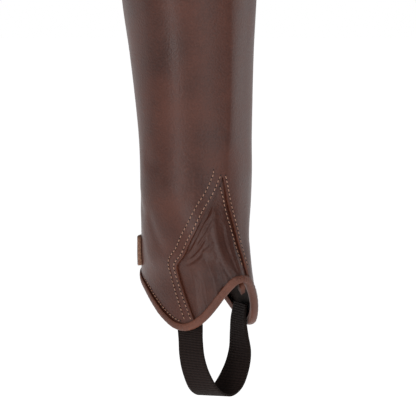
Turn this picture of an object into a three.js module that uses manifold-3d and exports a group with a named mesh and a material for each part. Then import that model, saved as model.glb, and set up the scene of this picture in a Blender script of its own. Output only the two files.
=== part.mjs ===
// A leather half chap for one leg, filled out as it is worn, in millimetres with +Z up.
// The shin looks along -Y, the outer side of the leg along -X, and the zip runs down the back.
// The origin lies on the leg's axis at the widest height of the calf, where the leg holds the chap.
import * as THREE from 'three';
import { mergeVertices } from 'three/addons/utils/BufferGeometryUtils.js';
import Module from 'manifold-3d';

const wasm = await Module();
wasm.setup();

// Heights in this file run up from the lowest point of the two side flaps.
const CALF_HEIGHT = 300;
const TOP_HEIGHT = 414;
const TOP_RISE = 5; // how much the top edge rises at the shin, and drops at the zip

// Cloth thicknesses and the gap left between two pieces.
const GAP = 0.3;
const PANEL = 2.0;
const GUSSET = 1.0;
const BINDING = 0.9;
const BINDING_GAP = 0.6;
const BINDING_WIDTH = 4.2;

// The leg's form: reach from the axis to the shin, to the back and to each side. A point of 2 is a round
// front, less is a pointed one. The crest stands out along the shin, and turn swings the front outwards.
const SECTIONS = [
  { height: 0, front: 65, back: 57, half: 38, point: 2.0, crest: 0, turn: 0 },
  { height: 25, front: 67, back: 58, half: 37.5, point: 1.9, crest: 0, turn: 1 },
  { height: 43, front: 67.5, back: 58, half: 37.8, point: 1.75, crest: 0, turn: 3 },
  { height: 55, front: 63, back: 56, half: 40, point: 1.75, crest: 0, turn: 5 },
  { height: 68, front: 57, back: 53, half: 41.5, point: 1.8, crest: 0.5, turn: 6.5 },
  { height: 82, front: 52, back: 48, half: 43.5, point: 1.85, crest: 1, turn: 7 },
  { height: 100, front: 48.2, back: 43.5, half: 45.5, point: 1.9, crest: 2, turn: 6.5 },
  { height: 125, front: 46.8, back: 43, half: 46.3, point: 2.0, crest: 3, turn: 4.5 },
  { height: 150, front: 47, back: 46.5, half: 46.4, point: 2.0, crest: 4, turn: 2 },
  { height: 182, front: 46.5, back: 52.2, half: 47.7, point: 2.0, crest: 4, turn: 0 },
  { height: 223, front: 46.8, back: 62.5, half: 49.4, point: 2.0, crest: 4, turn: 0 },
  { height: 263, front: 47.1, back: 73.5, half: 52.2, point: 2.0, crest: 4, turn: 0 },
  { height: 300, front: 47.5, back: 78, half: 54, point: 2.0, crest: 4, turn: 0 },
  { height: 345, front: 47.8, back: 75.5, half: 53.8, point: 2.0, crest: 4, turn: 0 },
  { height: 385, front: 48.5, back: 69.5, half: 52, point: 2.0, crest: 3.5, turn: 0 },
  { height: 425, front: 49.5, back: 63, half: 50, point: 2.0, crest: 3, turn: 0 },
];
const CREST_SPREAD = 42; // degrees either side of the shin over which the crest dies away
const CREST_ROUNDING = 3;

// The lower edge: its height at each angle from the shin, the same on both sides.
const HEM = [
  { angle: 0, height: 41.5 },
  { angle: 10, height: 40 },
  { angle: 18, height: 35.5 },
  { angle: 26, height: 28.5 },
  { angle: 34, height: 20 },
  { angle: 43, height: 11 },
  { angle: 52, height: 4.5 },
  { angle: 62, height: 1.2 },
  { angle: 72, height: 2.4 },
  { angle: 83, height: 8.5 },
  { angle: 96, height: 18 },
  { angle: 110, height: 27.5 },
  { angle: 125, height: 33.5 },
  { angle: 145, height: 38 },
  { angle: 180, height: 39 },
];

// The two edges of the gusset's cut-out, in degrees from the shin towards the outer side.
const SEAMS = [
  { height: 123, outer: 4.4, inner: 2.8 },
  { height: 106, outer: 13, inner: -3 },
  { height: 96, outer: 21.5, inner: -7 },
  { height: 82, outer: 33, inner: -12.5 },
  { height: 70, outer: 44, inner: -15.7 },
  { height: 59, outer: 54, inner: -17.7 },
  { height: 50.5, outer: 63.5, inner: -18 },
  { height: 44, outer: 64.5, inner: -17.5 },
  { height: 34, outer: 63, inner: -17 },
  { height: 23, outer: 59.5, inner: -16.5 },
  { height: 9, outer: 53.5, inner: -16 },
  { height: -25, outer: 45, inner: -15 },
];
const UNDERLAP = 10; // how far the gusset runs on under the main panel

// The back zip, measured across from the middle of the back.
const ZIP_OPENING = 9;
const ZIP_TAPE = { from: 3.1, to: 15, thickness: 0.7 };
const CHAIN = { width: 5.6, thickness: 2.3, below: 0.9 };
const BOX = { length: 11, width: 7.4, proud: -0.4 };
const SLIDER = { length: 12, width: 8.2, web: 4.6, proud: 1.4, below: 20, lug: 4.6, lugGap: 4 };
const PULL = { width: 7.4, length: 31, thickness: 1.4, eye: 2.3, pin: 1.6, lift: 4.2 };

// The snap tab over the foot of the zip, from its free end on the outer side to its sewn end.
const TAB = { from: 120, to: 212, low: 46, high: 70.5, thickness: 3.2 };
const SNAP = { radius: 6.2, height: 2.2, angle: 158 };

// The elastic under the foot: the places of its middle line, and the swing of its width from front to back.
const ELASTIC = { width: 25, thickness: 1.8 };
const LOOP = [
  { across: -27.4, reach: 27, height: 17, swing: 19 },
  { across: -25.6, reach: 27, height: 4, swing: 15 },
  { across: -25.8, reach: 28.4, height: -8, swing: 11 },
  { across: -26.2, reach: 31, height: -22, swing: 14 },
  { across: -22.5, reach: 32, height: -36, swing: 21 },
  { across: -13.5, reach: 31, height: -50, swing: 32 },
  { across: 0, reach: 27.7, height: -55.6, swing: 38 },
  { across: 13.5, reach: 25.6, height: -50, swing: 28 },
  { across: 22.5, reach: 25, height: -36, swing: 14 },
  { across: 26.6, reach: 24.4, height: -22, swing: 5 },
  { across: 26.8, reach: 23, height: -8, swing: -4 },
  { across: 26.6, reach: 22.6, height: 4, swing: -10 },
  { across: 28, reach: 23.4, height: 17, swing: -15 },
];

// How finely the faceted solids are cut.
const COLUMNS = 60;
const ROWS = 22;
const EDGE_STEPS = 60;

const LEATHER = { color: 0x4a2a20, roughness: 0.5, metalness: 0 };
const SOFT_LEATHER = { color: 0x46291f, roughness: 0.55, metalness: 0 };
const BINDING_LEATHER = { color: 0x643a2c, roughness: 0.55, metalness: 0 };
const WEBBING = { color: 0x1e1412, roughness: 0.9, metalness: 0 };
const DARK_METAL = { color: 0x4b463f, roughness: 0.35, metalness: 1 };

const radians = THREE.MathUtils.degToRad;
const degrees = THREE.MathUtils.radToDeg;

/** A smooth curve through one column of a table whose rows are in order of `key`. */
function smoothColumn(table, key, column, at) {
  const rows = table[0][key] < table[table.length - 1][key] ? table : [...table].reverse();
  const last = rows.length - 1;
  const value = THREE.MathUtils.clamp(at, rows[0][key], rows[last][key]);
  let i = 0;
  while (i < last - 1 && value > rows[i + 1][key]) i += 1;
  const rise = (a, b) => (rows[b][column] - rows[a][column]) / (rows[b][key] - rows[a][key]);
  const slope = (j) => {
    if (j === 0) return rise(0, 1);
    if (j === last) return rise(last - 1, last);
    const before = rows[j][key] - rows[j - 1][key];
    const after = rows[j + 1][key] - rows[j][key];
    return (rise(j - 1, j) * after + rise(j, j + 1) * before) / (before + after);
  };
  const span = rows[i + 1][key] - rows[i][key];
  const t = (value - rows[i][key]) / span;
  const start = rows[i][column];
  const end = rows[i + 1][column];
  const [m0, m1] = [slope(i) * span, slope(i + 1) * span];
  return (2 * t ** 3 - 3 * t ** 2 + 1) * start + (t ** 3 - 2 * t ** 2 + t) * m0
    + (-2 * t ** 3 + 3 * t ** 2) * end + (t ** 3 - t ** 2) * m1;
}

/** A column of a table joined by straight lines, and held at its first and last row. */
function straightColumn(table, key, column, at) {
  const rows = table[0][key] < table[table.length - 1][key] ? table : [...table].reverse();
  const last = rows.length - 1;
  const value = THREE.MathUtils.clamp(at, rows[0][key], rows[last][key]);
  let i = 0;
  while (i < last - 1 && value > rows[i + 1][key]) i += 1;
  const t = (value - rows[i][key]) / (rows[i + 1][key] - rows[i][key]);
  return THREE.MathUtils.lerp(rows[i][column], rows[i + 1][column], t);
}

/** The point of the leather's outer face at an angle from the shin, before any offset. */
function facePoint(angle, height) {
  const at = (column) => smoothColumn(SECTIONS, 'height', column, height);
  const phi = radians(angle);
  const [sine, cosine] = [Math.sin(phi), Math.cos(phi)];
  let across = -at('half') * sine;
  let reach = at('back') * cosine;
  if (cosine > 0) {
    const power = 2 / at('point');
    const rounded = Math.hypot(angle, CREST_ROUNDING) - CREST_ROUNDING;
    const crest = at('crest') * Math.max(0, 1 - rounded / CREST_SPREAD) ** 2;
    across = -at('half') * Math.sign(sine) * Math.abs(sine) ** power;
    reach = (at('front') - at('crest')) * cosine ** power + crest;
  }
  const turn = radians(at('turn'));
  return new THREE.Vector3(
    across * Math.cos(turn) - reach * Math.sin(turn),
    -(reach * Math.cos(turn) + across * Math.sin(turn)),
    height - CALF_HEIGHT,
  );
}

/** The outer face moved `out` millimetres away from the leg, level with the ground. */
function surfacePoint(angle, height, out = 0) {
  const step = 0.6;
  const along = facePoint(angle + step, height).sub(facePoint(angle - step, height));
  const outward = new THREE.Vector3(-along.y, along.x, 0).normalize();
  const point = facePoint(angle, height);
  if (outward.x * point.x + outward.y * point.y < 0) outward.negate();
  return point.addScaledVector(outward, out);
}

const wrapped = (angle) => Math.abs(((angle + 540) % 360) - 180);
const hemHeight = (angle) => smoothColumn(HEM, 'angle', 'height', wrapped(angle));
const topHeight = (angle) => TOP_HEIGHT + TOP_RISE * Math.cos(radians(angle));

/** The angle whose point lies `across` millimetres from the middle of the back, towards the outer side. */
function backAngle(across, height) {
  const half = smoothColumn(SECTIONS, 'height', 'half', height);
  return 180 - degrees(Math.asin(across / half));
}

/** A closed geometry from corner points and faces, turned so that its faces point out. */
function closedGeometry(points, faces) {
  const volume = faces.reduce((sum, [a, b, c]) => (
    sum + points[a].dot(new THREE.Vector3().crossVectors(points[b], points[c]))), 0);
  const ordered = volume > 0 ? faces : faces.map(([a, b, c]) => [a, c, b]);
  const geometry = new THREE.BufferGeometry();
  geometry.setAttribute('position', new THREE.Float32BufferAttribute(points.flatMap((p) => p.toArray()), 3));
  geometry.setIndex(ordered.flat());
  geometry.computeVertexNormals();
  return geometry;
}

/** A sheet with a thickness: `place(u, v, side)` gives its points, side 0 outside and side 1 inside. */
function sheetGeometry(columns, rows, place) {
  const points = [];
  const faces = [];
  const index = (i, j, side) => (side * (rows + 1) + j) * (columns + 1) + i;
  for (const side of [0, 1]) {
    for (let j = 0; j <= rows; j += 1) {
      for (let i = 0; i <= columns; i += 1) points.push(place(i / columns, j / rows, side));
    }
  }
  const quad = (a, b, c, d) => faces.push([a, b, c], [a, c, d]);
  for (let j = 0; j < rows; j += 1) {
    for (let i = 0; i < columns; i += 1) {
      quad(index(i, j, 0), index(i + 1, j, 0), index(i + 1, j + 1, 0), index(i, j + 1, 0));
      quad(index(i, j, 1), index(i, j + 1, 1), index(i + 1, j + 1, 1), index(i + 1, j, 1));
    }
    quad(index(0, j, 0), index(0, j + 1, 0), index(0, j + 1, 1), index(0, j, 1));
    quad(index(columns, j, 0), index(columns, j, 1), index(columns, j + 1, 1), index(columns, j + 1, 0));
  }
  for (let i = 0; i < columns; i += 1) {
    quad(index(i, 0, 0), index(i, 0, 1), index(i + 1, 0, 1), index(i + 1, 0, 0));
    quad(index(i, rows, 0), index(i + 1, rows, 0), index(i + 1, rows, 1), index(i, rows, 1));
  }
  return closedGeometry(points, faces);
}

/** A strip whose flat outline, a list of Vector2, is carried along by `place(t, corner)`. */
function stripGeometry(outline, steps, place) {
  const count = outline.length;
  const points = [];
  const faces = [];
  for (let j = 0; j <= steps; j += 1) {
    for (const corner of outline) points.push(place(j / steps, corner));
  }
  for (let j = 0; j < steps; j += 1) {
    for (let i = 0; i < count; i += 1) {
      const next = (i + 1) % count;
      const [a, b] = [j * count + i, j * count + next];
      faces.push([a, b, b + count], [a, b + count, a + count]);
    }
  }
  for (const [a, b, c] of THREE.ShapeUtils.triangulateShape(outline, [])) {
    faces.push([a, c, b], [steps * count + a, steps * count + b, steps * count + c]);
  }
  return closedGeometry(points, faces);
}

function toSolid(geometry) {
  const bare = geometry.clone();
  bare.deleteAttribute('normal');
  bare.deleteAttribute('uv');
  const merged = mergeVertices(bare, 1e-4);
  const vertProperties = new Float32Array(merged.attributes.position.array);
  const triVerts = new Uint32Array(merged.index.array);
  return new wasm.Manifold(new wasm.Mesh({ numProp: 3, vertProperties, triVerts }));
}

function fromSolid(solid) {
  const mesh = solid.getMesh();
  const geometry = new THREE.BufferGeometry();
  geometry.setAttribute('position', new THREE.BufferAttribute(new Float32Array(mesh.vertProperties), 3));
  geometry.setIndex(new THREE.BufferAttribute(new Uint32Array(mesh.triVerts), 1));
  geometry.computeVertexNormals();
  return geometry;
}

/** The whole sleeve of leather between two offsets, from one side of the zip to the other. */
function sleeve(outer, inner, from = -1, to = 1, columns = COLUMNS) {
  return sheetGeometry(columns, ROWS, (u, v, side) => {
    const share = THREE.MathUtils.lerp(from, to, u);
    const edge = backAngle(ZIP_OPENING / 2, CALF_HEIGHT);
    const rough = share * edge;
    const height = THREE.MathUtils.lerp(hemHeight(rough), topHeight(rough), v);
    const angle = share * backAngle(ZIP_OPENING / 2, height);
    return surfacePoint(angle, height, side === 0 ? outer : inner);
  });
}

/** A thick block that covers the gusset's cut-out, made wider on every side by `margin`. */
function gussetBlock(margin, reachOut, reachIn) {
  const [first, last] = [SEAMS[0], SEAMS[SEAMS.length - 1]];
  return sheetGeometry(10, 40, (u, v, side) => {
    const height = THREE.MathUtils.lerp(last.height, first.height, v);
    const half = smoothColumn(SECTIONS, 'height', 'half', height);
    const wider = degrees(margin / half);
    const low = straightColumn(SEAMS, 'height', 'inner', height) - wider;
    const high = straightColumn(SEAMS, 'height', 'outer', height) + wider;
    const raised = v > 0.99 ? height + margin * 0.6 : height;
    return surfacePoint(THREE.MathUtils.lerp(low, high, u), raised, side === 0 ? reachOut : -reachIn);
  });
}

function mainPanel() {
  return fromSolid(toSolid(sleeve(0, -PANEL)).subtract(toSolid(gussetBlock(0, 9, 9))));
}

function ankleGusset() {
  const outer = -PANEL - GAP;
  const wholeColumns = 26;
  const solid = toSolid(sleeve(outer, outer - GUSSET, -0.3, 0.5667, wholeColumns));
  return fromSolid(solid.intersect(toSolid(gussetBlock(UNDERLAP, 9, 12))));
}

/** A point near an edge: `inward` millimetres from it along the leather, and `out` millimetres off it. */
function edgePoint(edgeHeight, angle, inward, out) {
  const step = 0.5;
  const before = facePoint(angle - step, edgeHeight(angle - step));
  const after = facePoint(angle + step, edgeHeight(angle + step));
  const rise = after.z - before.z;
  const run = Math.hypot(after.x - before.x, after.y - before.y);
  const length = Math.hypot(rise, run);
  const perDegree = run / (2 * step);
  const turned = angle - (inward * rise) / length / perDegree;
  return surfacePoint(turned, edgeHeight(angle) + (inward * run) / length, out);
}

/** A folded strip that wraps an edge of the sleeve, open towards the leather. */
function bindingGeometry(edgeHeight, direction, layers) {
  const inside = -(layers + BINDING_GAP);
  const outline = [
    new THREE.Vector2(BINDING_WIDTH, BINDING_GAP + BINDING),
    new THREE.Vector2(0, BINDING_GAP + BINDING * 1.15),
    new THREE.Vector2(-BINDING_GAP - BINDING * 0.8, BINDING_GAP + BINDING * 0.3),
    new THREE.Vector2(-BINDING_GAP - BINDING, (BINDING_GAP + inside) / 2),
    new THREE.Vector2(-BINDING_GAP - BINDING * 0.8, inside - BINDING * 0.3),
    new THREE.Vector2(0, inside - BINDING * 1.15),
    new THREE.Vector2(BINDING_WIDTH, inside - BINDING),
    new THREE.Vector2(BINDING_WIDTH, inside),
    new THREE.Vector2(-BINDING_GAP, inside),
    new THREE.Vector2(-BINDING_GAP, BINDING_GAP),
    new THREE.Vector2(BINDING_WIDTH, BINDING_GAP),
  ];
  const end = backAngle(ZIP_OPENING / 2, CALF_HEIGHT);
  return stripGeometry(outline, EDGE_STEPS, (t, corner) => (
    edgePoint(edgeHeight, THREE.MathUtils.lerp(-end, end, t), corner.x * direction, corner.y)));
}

/** A strip down the back between two distances from its middle line and two offsets. */
function backStrip(from, to, outer, inner, low, high, rows) {
  return sheetGeometry(1, rows, (u, v, side) => {
    const height = THREE.MathUtils.lerp(low, high, v);
    return surfacePoint(backAngle(THREE.MathUtils.lerp(from, to, u), height), height, side === 0 ? outer : inner);
  });
}

const zipFoot = hemHeight(180) + BINDING_WIDTH * 0.2;
const zipHead = topHeight(180) - 2;
const sliderHeight = topHeight(180) - SLIDER.below;

/** A frame on the middle of the back at the slider: X across, Y down along the zip, Z away from the leg. */
function sliderFrame() {
  const step = 8;
  const up = facePoint(180, sliderHeight + step).sub(facePoint(180, sliderHeight - step)).normalize();
  const across = new THREE.Vector3(1, 0, 0);
  const down = up.clone().negate();
  const out = new THREE.Vector3().crossVectors(across, down).normalize();
  return new THREE.Matrix4().makeBasis(across, down, out).setPosition(facePoint(180, sliderHeight));
}

/** A flat outline with round corners, centred on the origin. */
function roundedPlate(width, length, radius) {
  const [x, y] = [width / 2, length / 2];
  const shape = new THREE.Shape();
  shape.moveTo(-x + radius, -y);
  shape.lineTo(x - radius, -y);
  shape.absarc(x - radius, -y + radius, radius, -Math.PI / 2, 0);
  shape.lineTo(x, y - radius);
  shape.absarc(x - radius, y - radius, radius, 0, Math.PI / 2);
  shape.lineTo(-x + radius, y);
  shape.absarc(-x + radius, y - radius, radius, Math.PI / 2, Math.PI);
  shape.lineTo(-x, -y + radius);
  shape.absarc(-x + radius, -y + radius, radius, Math.PI, Math.PI * 1.5);
  return shape;
}

function plate(width, length, radius, bottom, top) {
  const geometry = new THREE.ExtrudeGeometry(roundedPlate(width, length, radius), {
    depth: top - bottom, bevelEnabled: false, curveSegments: 5,
  });
  return geometry.translate(0, 0, bottom);
}

/** Two plates joined by a web, with a lug on top that carries the pull's pin. */
function zipSlider() {
  const tapeTop = -PANEL - GAP;
  const tapeBottom = tapeTop - ZIP_TAPE.thickness;
  const upper = toSolid(plate(SLIDER.width, SLIDER.length, 2, tapeTop + 2 * GAP, SLIDER.proud));
  const lower = toSolid(plate(SLIDER.width, SLIDER.length, 2, tapeBottom - 1.6, tapeBottom - 2 * GAP));
  const web = toSolid(plate(SLIDER.web, SLIDER.length - 2, 1, tapeBottom - 1.2, tapeTop + 1.2));
  let body = upper.add(lower).add(web);
  const lugWidth = (SLIDER.width - SLIDER.lugGap) / 2;
  for (const side of [-1, 1]) {
    const lug = new THREE.BoxGeometry(lugWidth, 3.4, SLIDER.lug);
    lug.translate(side * (SLIDER.lugGap + lugWidth) / 2, 0, SLIDER.proud + SLIDER.lug / 2 - 0.2);
    body = body.add(toSolid(lug));
  }
  const pin = new THREE.CylinderGeometry(PULL.pin / 2, PULL.pin / 2, SLIDER.width - 1, 16);
  pin.rotateZ(Math.PI / 2).translate(0, 0, PULL.lift);
  return fromSolid(body.add(toSolid(pin))).applyMatrix4(sliderFrame());
}

/** A narrow neck with an eye round the pin, and a wider tab that hangs down the zip. */
function zipPull() {
  const neck = SLIDER.lugGap - 2 * GAP;
  const middle = PULL.lift;
  const ring = new THREE.CylinderGeometry(PULL.eye, PULL.eye, neck, 20).rotateZ(Math.PI / 2);
  ring.translate(0, 0, middle);
  const stem = new THREE.BoxGeometry(neck, 8, PULL.thickness).translate(0, 4.5, middle);
  const tab = plate(PULL.width, PULL.length - 7, 2.4, -PULL.thickness / 2, PULL.thickness / 2);
  tab.translate(0, 7 + (PULL.length - 7) / 2, middle);
  const bore = new THREE.CylinderGeometry(PULL.pin / 2 + GAP, PULL.pin / 2 + GAP, neck + 4, 16).rotateZ(Math.PI / 2);
  bore.translate(0, 0, middle);
  const hole = new THREE.CylinderGeometry(1.6, 1.6, 6, 16).rotateX(Math.PI / 2);
  hole.translate(0, PULL.length - 5, middle);
  const body = toSolid(ring).add(toSolid(stem)).add(toSolid(tab)).subtract(toSolid(bore)).subtract(toSolid(hole));
  return fromSolid(body).applyMatrix4(sliderFrame());
}

function zipBox() {
  const top = zipFoot + BOX.length;
  return backStrip(-BOX.width / 2, BOX.width / 2, BOX.proud, -PANEL, zipFoot, top, 2);
}

function zipTape(side) {
  const outer = -PANEL - GAP;
  return backStrip(side * ZIP_TAPE.from, side * ZIP_TAPE.to, outer, outer - ZIP_TAPE.thickness, zipFoot, zipHead, 24);
}

function zipChain() {
  const low = zipFoot + BOX.length + GAP;
  const high = sliderHeight - SLIDER.length / 2 - GAP;
  const half = CHAIN.width / 2;
  return backStrip(-half, half, -CHAIN.below, -CHAIN.below - CHAIN.thickness, low, high, 24);
}

function closureTab() {
  return sheetGeometry(16, 2, (u, v, side) => {
    const angle = THREE.MathUtils.lerp(TAB.from, TAB.to, u);
    const height = THREE.MathUtils.lerp(TAB.low, TAB.high, v);
    return surfacePoint(angle, height, side === 0 ? GAP + 0.2 + TAB.thickness : GAP + 0.2);
  });
}

function snapCap() {
  const { radius, height } = SNAP;
  const profile = [
    new THREE.Vector2(0, 0),
    new THREE.Vector2(radius * 0.9, 0),
    new THREE.Vector2(radius, height * 0.35),
    new THREE.Vector2(radius * 0.8, height * 0.75),
    new THREE.Vector2(radius * 0.4, height * 0.95),
    new THREE.Vector2(0, height),
  ];
  const cap = new THREE.LatheGeometry(profile, 28);
  const middle = (TAB.low + TAB.high) / 2;
  const foot = GAP + 0.2 + TAB.thickness;
  const seat = surfacePoint(SNAP.angle, middle, foot);
  const along = surfacePoint(SNAP.angle + 2, middle, foot).sub(surfacePoint(SNAP.angle - 2, middle, foot));
  const up = surfacePoint(SNAP.angle, middle + 4, foot).sub(surfacePoint(SNAP.angle, middle - 4, foot));
  const out = up.cross(along).normalize();
  const turn = new THREE.Quaternion().setFromUnitVectors(new THREE.Vector3(0, 1, 0), out);
  const place = new THREE.Matrix4().makeRotationFromQuaternion(turn);
  return cap.applyMatrix4(place.setPosition(seat.addScaledVector(out, 2 * GAP)));
}

function stirrupElastic() {
  const rows = LOOP.map((row, i) => ({ ...row, place: i }));
  const at = (column, place) => smoothColumn(rows, 'place', column, place);
  const middle = (place) => new THREE.Vector3(at('across', place), -at('reach', place), at('height', place) - CALF_HEIGHT);
  const half = ELASTIC.width / 2;
  const outline = [[-half, -0.5], [half, -0.5], [half, 0.5], [-half, 0.5]]
    .map(([across, through]) => new THREE.Vector2(across, through * ELASTIC.thickness));
  const last = LOOP.length - 1;
  return stripGeometry(outline, 48, (t, corner) => {
    const place = t * last;
    const swing = radians(at('swing', place));
    const width = new THREE.Vector3(Math.sin(swing), -Math.cos(swing), 0);
    const before = middle(Math.max(place - 0.05, 0));
    const along = middle(Math.min(place + 0.05, last)).sub(before).normalize();
    const through = new THREE.Vector3().crossVectors(along, width).normalize();
    return middle(place).addScaledVector(width, corner.x).addScaledVector(through, corner.y);
  });
}

const halfChap = new THREE.Group();

function addPiece(name, geometry, look) {
  const mesh = new THREE.Mesh(geometry, new THREE.MeshStandardMaterial(look));
  mesh.name = name;
  halfChap.add(mesh);
}

addPiece('main_panel', mainPanel(), LEATHER);
addPiece('ankle_gusset', ankleGusset(), SOFT_LEATHER);
addPiece('hem_binding', bindingGeometry(hemHeight, 1, PANEL + GAP + GUSSET + GAP), BINDING_LEATHER);
addPiece('top_binding', bindingGeometry(topHeight, -1, PANEL + GAP + ZIP_TAPE.thickness), BINDING_LEATHER);
addPiece('zip_tape_outer', zipTape(1), WEBBING);
addPiece('zip_tape_inner', zipTape(-1), WEBBING);
addPiece('zip_chain', zipChain(), DARK_METAL);
addPiece('zip_box', zipBox(), DARK_METAL);
addPiece('zip_slider', zipSlider(), DARK_METAL);
addPiece('zip_pull', zipPull(), DARK_METAL);
addPiece('closure_tab', closureTab(), LEATHER);
addPiece('snap_cap', snapCap(), DARK_METAL);
addPiece('stirrup_elastic', stirrupElastic(), WEBBING);

export default halfChap;
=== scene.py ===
"""A brown leather half chap: creased ankle gusset, rolled bindings, back zip and elastic stirrup."""
import logging
import math
from dataclasses import dataclass, field
from enum import Enum
from typing import Callable, Sequence

import bmesh
import bpy
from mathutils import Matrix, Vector

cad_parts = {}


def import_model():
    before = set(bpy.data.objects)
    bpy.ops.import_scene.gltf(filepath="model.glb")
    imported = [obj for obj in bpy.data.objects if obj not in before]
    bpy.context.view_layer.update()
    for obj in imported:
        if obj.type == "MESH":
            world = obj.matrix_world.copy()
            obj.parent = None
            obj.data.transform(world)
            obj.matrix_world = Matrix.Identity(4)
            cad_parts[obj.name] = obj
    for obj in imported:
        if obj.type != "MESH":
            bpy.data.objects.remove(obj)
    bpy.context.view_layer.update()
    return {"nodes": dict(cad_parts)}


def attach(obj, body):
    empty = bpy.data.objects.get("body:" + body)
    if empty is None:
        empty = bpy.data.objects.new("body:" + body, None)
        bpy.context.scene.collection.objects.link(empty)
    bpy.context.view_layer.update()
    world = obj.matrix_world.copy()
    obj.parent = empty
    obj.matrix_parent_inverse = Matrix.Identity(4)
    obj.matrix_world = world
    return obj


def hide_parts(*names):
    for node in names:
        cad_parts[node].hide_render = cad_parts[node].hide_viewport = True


LOG = logging.getLogger("half_chap")
MM = 0.001
MM_PER_DEGREE = 0.78
Place = Callable[[float, float], Vector]
Edge = Callable[[float], float]


class Side(Enum):
    """The two sides of the leg, with the sign of their angles from the shin."""

    OUTER = 1
    INNER = -1


@dataclass(frozen=True)
class Section:
    """One level of the leg: reaches in millimetres, and how the front is shaped."""

    height: float
    front: float
    back: float
    half: float
    point: float
    crest: float
    turn: float


@dataclass(frozen=True)
class Knot:
    """One point of a smooth curve."""

    at: float
    value: float


def smooth(knots: Sequence[Knot], at: float) -> float:
    """Reads a smooth curve through its knots.

    Args:
        knots: the curve's points, with `at` rising.
        at: where to read it; held at the first and last knot.

    Returns:
        The value there.
    """
    at = min(max(at, knots[0].at), knots[-1].at)
    last = len(knots) - 1
    i = 0
    while i < last - 1 and at > knots[i + 1].at:
        i += 1

    def rise(a: int, b: int) -> float:
        """The straight slope between two knots."""
        return (knots[b].value - knots[a].value) / (knots[b].at - knots[a].at)

    def slope(j: int) -> float:
        """The curve's slope at a knot."""
        if j == 0:
            return rise(0, 1)
        if j == last:
            return rise(last - 1, last)
        before = knots[j].at - knots[j - 1].at
        after = knots[j + 1].at - knots[j].at
        return (rise(j - 1, j) * after + rise(j, j + 1) * before) / (before + after)

    span = knots[i + 1].at - knots[i].at
    t = (at - knots[i].at) / span
    start, end = knots[i].value, knots[i + 1].value
    return (
        (2 * t**3 - 3 * t**2 + 1) * start
        + (t**3 - 2 * t**2 + t) * slope(i) * span
        + (3 * t**2 - 2 * t**3) * end
        + (t**3 - t**2) * slope(i + 1) * span
    )


def mix(a: float, b: float, t: float) -> float:
    """Goes from a to b as t goes from 0 to 1."""
    return a + (b - a) * t


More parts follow.
